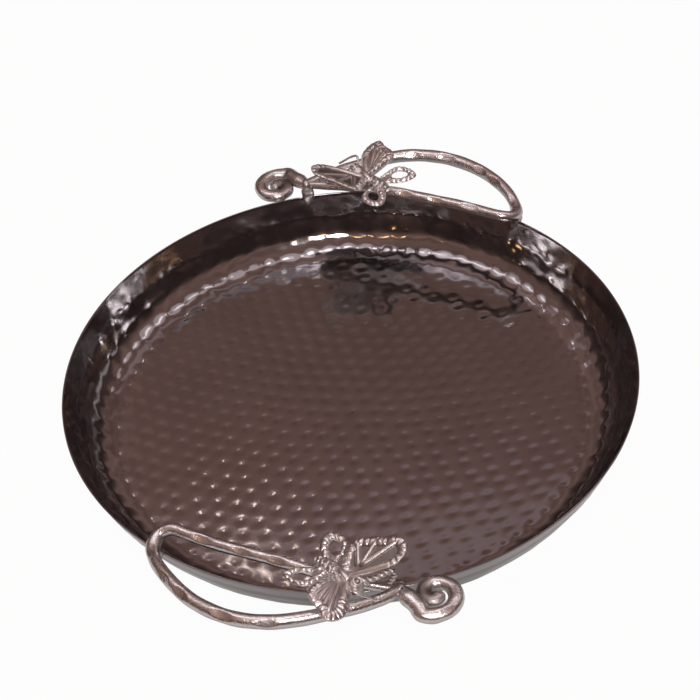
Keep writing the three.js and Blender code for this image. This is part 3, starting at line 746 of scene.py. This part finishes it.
def nearest_edge(plan, outline, arc):
    """Distance from each plan point to the outline, and how far along the outline that is."""
    flat = plan.reshape(-1, 2)
    gap = np.linalg.norm(flat[:, None] - outline[None, ::2], axis=-1)
    nearest = gap.argmin(axis=1)
    return gap.min(axis=1).reshape(plan.shape[:-1]), arc[::2][nearest].reshape(plan.shape[:-1])


def bars(plan, segments, width):
    """Height from 0 to 1 of round bars along straight segments."""
    height = np.zeros(plan.shape[:-1])
    for start, stop in np.array(segments, float):
        along = stop - start
        share = np.clip((plan - start) @ along / (along @ along), 0, 1)
        off = np.linalg.norm(plan - start - share[..., None] * along, axis=-1)
        height = np.maximum(height, np.sqrt(np.clip(1 - (off / width) ** 2, 0, 1)))
    return height


def climbed(plan, height, climb, side):
    """Plan points and heights as points of a sheared wing on one side of the body."""
    z = plan[..., 0] * climb[0] + plan[..., 1] * climb[1] + height
    return np.stack((plan[..., 0], plan[..., 1] * side, z), axis=-1)


def two_faces(plan, top, under, climb, side):
    """Rows over a wing's top and back under it."""
    return np.concatenate((climbed(plan, top, climb, side), climbed(plan, under, climb, side)[::-1]))


# %% A forewing and a hindwing as skins with their stains
DOME = {"inner": 0.4, "outer": 2.6}
FLUTES = {"inner": 0.0, "outer": 0.5}
SWELLS = {"inner": 2.2, "outer": 1.2}


def fan_wing(place, side, seed):
    """A forewing: points, faces and stain."""
    wing = FOREWINGS[place]
    outline, arc = forewing_outline(**wing)
    hub = np.array((2.5, 1.2))
    share = np.concatenate((np.linspace(0.05, 0.62, 26), np.linspace(0.64, 1, 30)))[:, None]
    plan = hub + share[..., None] * (outline - hub)
    edge, edge_arc = nearest_edge(plan, outline, arc)
    front_edge = np.clip((THORAX_LENGTH / 2 + 0.95 * wing["forward"] - edge_arc) / 5, 0, 1)
    border = lumps(edge_arc, edge, BORDERS[place] - 1.2 * front_edge, front_edge, seed)
    rib = bars(plan, RIBS[place], RIB_WIDTH)
    root = 0.6 * np.exp(-((np.linalg.norm(plan - hub, axis=-1) / 4) ** 2))
    raised = np.maximum.reduce((0.8 * rib, border, root))
    swing = np.arctan2(plan[..., 1] - hub[1], plan[..., 0] - hub[0])
    flute = FLUTES[place] * np.cos(11 * swing) * (1 - border) * share
    dome = DOME[place] * (1 - (2 * share - 1) ** 2)
    half = WING_THICKNESS / 2
    top = half * (2.2 * raised - 0.4) + flute + dome
    under = -half * np.clip(edge + 0.4, 0, 1) + dome
    grid = two_faces(plan, top, under, wing["climb"], side)
    foot = np.clip(1 - np.abs(raised - 0.2) / 0.2, 0, 1)
    dark = np.clip(0.7 - 1.5 * raised + 0.2 * foot, 0, 0.95) * (1 if place == "inner" else 0.6)
    points, faces = skin(grid)
    tarnish_and_shade = np.zeros(len(points))
    tarnish_and_shade[:2 * dark.size] = np.concatenate((dark.ravel(), 0.5 * dark[::-1].ravel()))
    return points, faces, tarnish_and_shade


def open_wing(place, side, seed):
    """A hindwing round its window: points, faces and stain."""
    wing = HINDWINGS[place]
    outline, arc = hindwing_outline(corner_back=FOREWINGS[place]["corner_back"], **wing)
    middle = np.array((-0.64 * wing["back"], 0.68 * wing["outward"]))
    heading = math.atan2(wing["outward"], -wing["back"])
    angle = np.arctan2(*(outline - middle).T[::-1]) - heading
    pane = np.stack((np.cos(angle) * WINDOW_LENGTH / 2, np.sin(angle) * WINDOW_WIDTH / 2), axis=-1)
    c, s = math.cos(heading), math.sin(heading)
    pane = middle + pane @ np.array(((c, s), (-s, c)))
    outline = outline + SWELLS[place] * unit(outline - pane)
    share = np.linspace(0, 1, 34)[:, None]
    plan = pane + share[..., None] * (outline - pane)
    span = np.linalg.norm(outline - pane, axis=1)
    crown = np.clip(1 - (2 * share - 1) ** 2, 0, 1) ** 0.35
    raised = lumps(arc + 0 * share, (1 - share) * span, np.clip(1.05 * span, 2, 5.5), 0, seed)
    half = WING_THICKNESS / 2
    top = half * (crown * (0.5 + 2.1 * raised) - 0.4)
    under = -half * np.clip(1.6 * crown - 0.5, 0.2, 1)
    grid = two_faces(plan, top, under, wing["climb"], side)
    dark = np.clip(0.45 - 0.9 * raised, 0, 0.5)
    points, faces = skin(grid, ring=True)
    return points, faces, np.concatenate((dark.ravel(), 0.5 * dark[::-1].ravel()))


# %% All eight wings
for end in ENDS:
    for place, side in (("inner", 1), ("outer", -1)):
        made = {"forewing": fan_wing(place, side, 31 + side), "hindwing": open_wing(place, side, 41 + side)}
        for kind, (points, faces, tarnish_and_shade) in made.items():
            name = f"{end}_{place}_{kind}"
            wing = make_piece(name, (in_place(end, points), faces), relief_silver, tarnish_and_shade)
            print(wing.name, len(wing.data.polygons), "faces")

# %% [markdown]
# ## Antennae
# The inner antenna is twisted wire. Two strands laid together are a rod whose section is a figure of
# eight that turns along its length, so the rod's rings are pinched with a turning wave. It runs up
# under the forewing's front edge and down to the rod. The outer one is a thin, plain arch.

# %% Antennae: radius, depth of the twist and route
TWIST_PITCH = 3.4
ANTENNAE = {
    "inner": (1.8, 0.38, [
        (17, 8, 3), (22.6, 15.4, 6.8), (25.2, 18.6, 6), (23.7, 17.6, 1), (21.8, 16.8, -3.8),
    ]),
    "outer": (0.8, 0.05, [(18, -7, 6.5), (27.6, 0.6, 0)]),
}
for end in ENDS:
    for place, side in (("inner", 1), ("outer", -1)):
        radius, twist, route = ANTENNAE[place]
        root = (HEAD, 0.3 * HEAD_RADIUS * side, 0.4 * HEAD_RADIUS)
        run = smooth_run([root, *route], 120)
        along = np.linspace(0, np.linalg.norm(np.diff(run, axis=0), axis=1).sum(), len(run))
        turn = np.linspace(0, TAU, 20, endpoint=False)
        pinch = twist * np.abs(np.sin(turn - math.pi * along[:, None] / TWIST_PITCH)) ** 3
        rings = rod_rings(run, radius, radius, len(turn))
        rings = run[:, None] + (rings - run[:, None]) * (1 - pinch)[..., None]
        points, faces = skin(rings)
        tarnish_and_shade = np.concatenate(((1.6 * pinch).ravel(), [0, 0]))
        placed = in_place(end, turned(points, BODY_TURN))
        name = f"{end}_{place}_antenna"
        antenna = make_piece(name, (placed, faces), relief_silver, tarnish_and_shade)
        print(antenna.name, len(antenna.data.polygons), "faces")

# %% [markdown]
# ## Stage, light and camera
# Polished metal shows what stands round it. The tray stands on a white table in a dim brown room,
# so the floor of the dish, which looks up and away from the camera, shows the room, and the outside
# shows the table. A lamp overhead and soft strips at both sides draw the bright line along the cove,
# and small lamps make the sparkle. Most of the table's white is plain, so that the shadow stays
# faint. In the metal's mirror the table is a painted reflection: near the tray it is tinted a third
# of the way to dark brown as painted shade, and further out fully, so that it fades into the room.

# %% White table
PLAIN_SHARE, MIRRORED_SHARE = 0.97, 0.5
TABLE_SIZE, TABLE_NEAR, TABLE_FAR, NEAR_FADE = 40, 0.35, 1.0, 0.32
bpy.ops.mesh.primitive_plane_add(size=TABLE_SIZE)
table_top = bpy.context.object
table_top.name = "table_top"
paper, tree = new_metal("matt_white_paper")
spot = add_node(tree, "ShaderNodeTexCoord", {}).outputs["Object"]
fibre = add_node(tree, "ShaderNodeTexNoise", {"Vector": spot, "Scale": per_metre(40)})
shade = add_node(tree, "ShaderNodeMix", {
    "Factor": fibre.outputs["Fac"], "A": linear("#ffffff"), "B": linear("#fefefe"),
}, data_type="RGBA")
# Painted reflection: rays reflected from the metal see the table tinted towards dark brown #5d473f, by 0.32
# within 0.35 m of the middle as painted shade of the tray, and fully from 1 m out.
reach = add_node(tree, "ShaderNodeVectorMath", {0: spot}, operation="LENGTH")
far = add_node(tree, "ShaderNodeMapRange", {
    "Value": reach.outputs["Value"], "From Min": TABLE_NEAR, "From Max": TABLE_FAR,
    "To Min": NEAR_FADE, "To Max": 1.0,
})
ray = add_node(tree, "ShaderNodeLightPath", {})
mirrored = add_node(tree, "ShaderNodeMath", {
    0: ray.outputs["Is Glossy Ray"], 1: ray.outputs["Is Transmission Ray"],
}, operation="MAXIMUM")
ended = add_node(tree, "ShaderNodeMath", {
    0: mirrored.outputs["Value"], 1: far.outputs["Result"],
}, operation="MULTIPLY")
colour = add_node(tree, "ShaderNodeMix", {
    "Factor": ended.outputs["Value"], "A": shade.outputs["Result"], "B": linear("#5d473f"),
}, data_type="RGBA")
lit = add_node(tree, "ShaderNodeBsdfDiffuse", {"Color": colour.outputs["Result"]})
plain = add_node(tree, "ShaderNodeEmission", {"Color": colour.outputs["Result"], "Strength": 1.0})
mirrored_part = add_node(tree, "ShaderNodeMath", {
    0: mirrored.outputs["Value"], 1: MIRRORED_SHARE,
}, operation="MULTIPLY")
part = add_node(tree, "ShaderNodeMath", {
    0: ray.outputs["Is Camera Ray"], 1: PLAIN_SHARE, 2: mirrored_part.outputs["Value"],
}, operation="MULTIPLY_ADD")
both = add_node(tree, "ShaderNodeMixShader", {
    0: part.outputs["Value"], 1: lit.outputs["BSDF"], 2: plain.outputs["Emission"],
})
add_node(tree, "ShaderNodeOutputMaterial", {"Surface": both.outputs["Shader"]})
table_top.data.materials.append(paper)
print("table", table_top.name, "in", paper.name)

# %% Room: dark low walls and cloudy brown light higher up
ROOM_BANDS = [
    (0.0, "#5e4e47"), (0.1, "#46393a"), (0.24, "#3b2f2d"), (0.42, "#5a4844"), (0.56, "#91756d"),
    (0.66, "#8b6f67"), (0.8, "#8b6e66"), (1.0, "#94776f"),
]
room = bpy.data.worlds.new("room")
bpy.context.scene.world = room
room.use_nodes = True
tree = room.node_tree
tree.nodes.clear()
sky = add_node(tree, "ShaderNodeTexCoord", {}).outputs["Generated"]
height = add_node(tree, "ShaderNodeSeparateXYZ", {"Vector": sky}).outputs["Z"]
bands = add_node(tree, "ShaderNodeValToRGB", {"Fac": height})
ramp = bands.color_ramp
for _ in ROOM_BANDS[2:]:
    ramp.elements.new(0.5)
for stop, (rise, shade) in zip(ramp.elements, ROOM_BANDS):
    stop.position, stop.color = rise, linear(shade)
cloud = add_node(tree, "ShaderNodeTexNoise", {"Vector": sky, "Scale": 5.0, "Detail": 3.0})
level = add_node(tree, "ShaderNodeMapRange", {
    "Value": cloud.outputs["Fac"], "From Min": 0.3, "From Max": 0.7, "To Min": 0.65, "To Max": 1.35,
})
glow = add_node(tree, "ShaderNodeBackground", {
    "Color": bands.outputs["Color"], "Strength": level.outputs["Result"],
})
add_node(tree, "ShaderNodeOutputWorld", {"Surface": glow.outputs["Background"]})
print("room with", len(ROOM_BANDS), "bands of colour")


# %% Lamps: a key above the camera, one overhead, soft strips at both sides, and small bright ones
CAMERA_AZIMUTH, CAMERA_ELEVATION = math.radians(18.6), math.radians(43.48)


def lamp_level(glow, wide, high):
    """The power in watts that gives an area lamp this glow."""
    return glow * math.pi * wide * high


def add_lamp(name, kind, spot, colour, energy, **settings):
    """A lamp at a place in metres, right, away and up as the camera sees the tray, that faces the tray."""
    lamp = bpy.data.objects.new(name, bpy.data.lights.new(name, kind))
    lamp.data.color = linear(colour)[:3]
    lamp.data.energy = energy
    for key, value in settings.items():
        setattr(lamp.data, key, value)
    lamp.location = Matrix.Rotation(CAMERA_AZIMUTH, 3, "Z") @ Vector(spot)
    lamp.rotation_mode = "QUATERNION"
    lamp.rotation_quaternion = (-lamp.location).to_track_quat("-Z", "Y")
    bpy.context.collection.objects.link(lamp)
    print("lamp", name)


KEY, PANEL = 0.36, (1.0, 0.3)
add_lamp(
    "key_lamp", "AREA", (0.09, -1.06, 1.2), "#fffdff", lamp_level(17.0, KEY, KEY),
    shape="SQUARE", size=KEY)
for glow, wide in ((3.5, 0.3), (0.6, 0.9)):
    add_lamp(
        "overhead", "AREA", (0, 0.1, 1.6), "#f6f3fa", lamp_level(glow, wide, wide),
        shape="SQUARE", size=wide)
SIDE_LAYERS = {"core": (2.5, 0.12, 0.5), "strip": (0.9, 0.3, 0.6), "haze": (0.5, 0.7, 0.8)}
for name, across, away in (("right", 0.85, 0.45), ("left", -0.56, 0.3)):
    for layer, (glow, wide, high) in SIDE_LAYERS.items():
        add_lamp(
            f"{name}_{layer}", "AREA", (across, away, 1.4), "#f6f1f8", lamp_level(glow, wide, high),
            shape="RECTANGLE", size=wide, size_y=high)
SPARKLE, DISCS = 0.035, (0.9, 0.18)
add_lamp(
    "sparkle_lamp", "AREA", (-0.16, 0.92, 1.22), "#fff2e4", lamp_level(7.0, SPARKLE, SPARKLE),
    shape="DISK", size=SPARKLE)
add_lamp(
    "pale_discs", "AREA", (-0.1, 0.87, 1.22), "#e4dcee", lamp_level(0.2, *DISCS),
    shape="RECTANGLE", size=DISCS[0], size_y=DISCS[1])
add_lamp(
    "pale_panel", "AREA", (1.5, 0.95, 0.42), "#f0eaec", lamp_level(0.5, *PANEL),
    shape="RECTANGLE", size=PANEL[0], size_y=PANEL[1])
WARM, WARM_SPOTS = 0.1, [
    (-0.25, -0.9, 1.25), (0.3, -1.2, 0.95), (-0.5, -0.8, 1.1), (-1.55, -0.35, 0.42), (-0.7, -1.4, 0.35),
]
for spot in WARM_SPOTS:
    add_lamp("warm_lamp", "AREA", spot, "#ffc98a", lamp_level(5.0, WARM, WARM), shape="DISK", size=WARM)

# %% [markdown]
# The camera was worked out from the rim's oval and from the two like handles: how far it stood,
# how high, how it was turned, and its lens.

# %% Camera
CAMERA_DISTANCE, CAMERA_LENS, SENSOR = 1326.6, 109.2, 36
CAMERA_YAW, CAMERA_PITCH, CAMERA_ROLL = math.radians(-0.03), math.radians(0.62), math.radians(5.43)
rim_middle = Vector((0, 0, DISH_HEIGHT)) * MM
back = Vector((
    math.sin(CAMERA_AZIMUTH) * math.cos(CAMERA_ELEVATION),
    -math.cos(CAMERA_AZIMUTH) * math.cos(CAMERA_ELEVATION),
    math.sin(CAMERA_ELEVATION),
))
ahead = -back
right = ahead.cross(Vector((0, 0, 1))).normalized()
above = right.cross(ahead)
swing = (
    Matrix.Rotation(CAMERA_ROLL, 3, ahead)
    @ Matrix.Rotation(CAMERA_PITCH, 3, right)
    @ Matrix.Rotation(CAMERA_YAW, 3, above)
)
camera = bpy.data.objects.new("camera", bpy.data.cameras.new("camera"))
camera.data.sensor_width = SENSOR
camera.data.lens = CAMERA_LENS
camera.location = rim_middle + back * CAMERA_DISTANCE * MM
camera.rotation_mode = "QUATERNION"
axes = Matrix((swing @ right, swing @ above, -(swing @ ahead))).transposed()
camera.rotation_quaternion = axes.to_quaternion()
bpy.context.collection.objects.link(camera)
bpy.context.scene.camera = camera
bpy.context.scene.view_settings.view_transform = "Standard"
print("camera at", [round(v, 3) for v in camera.location])

# %% The end: bring the scene up to date
bpy.context.view_layer.update()
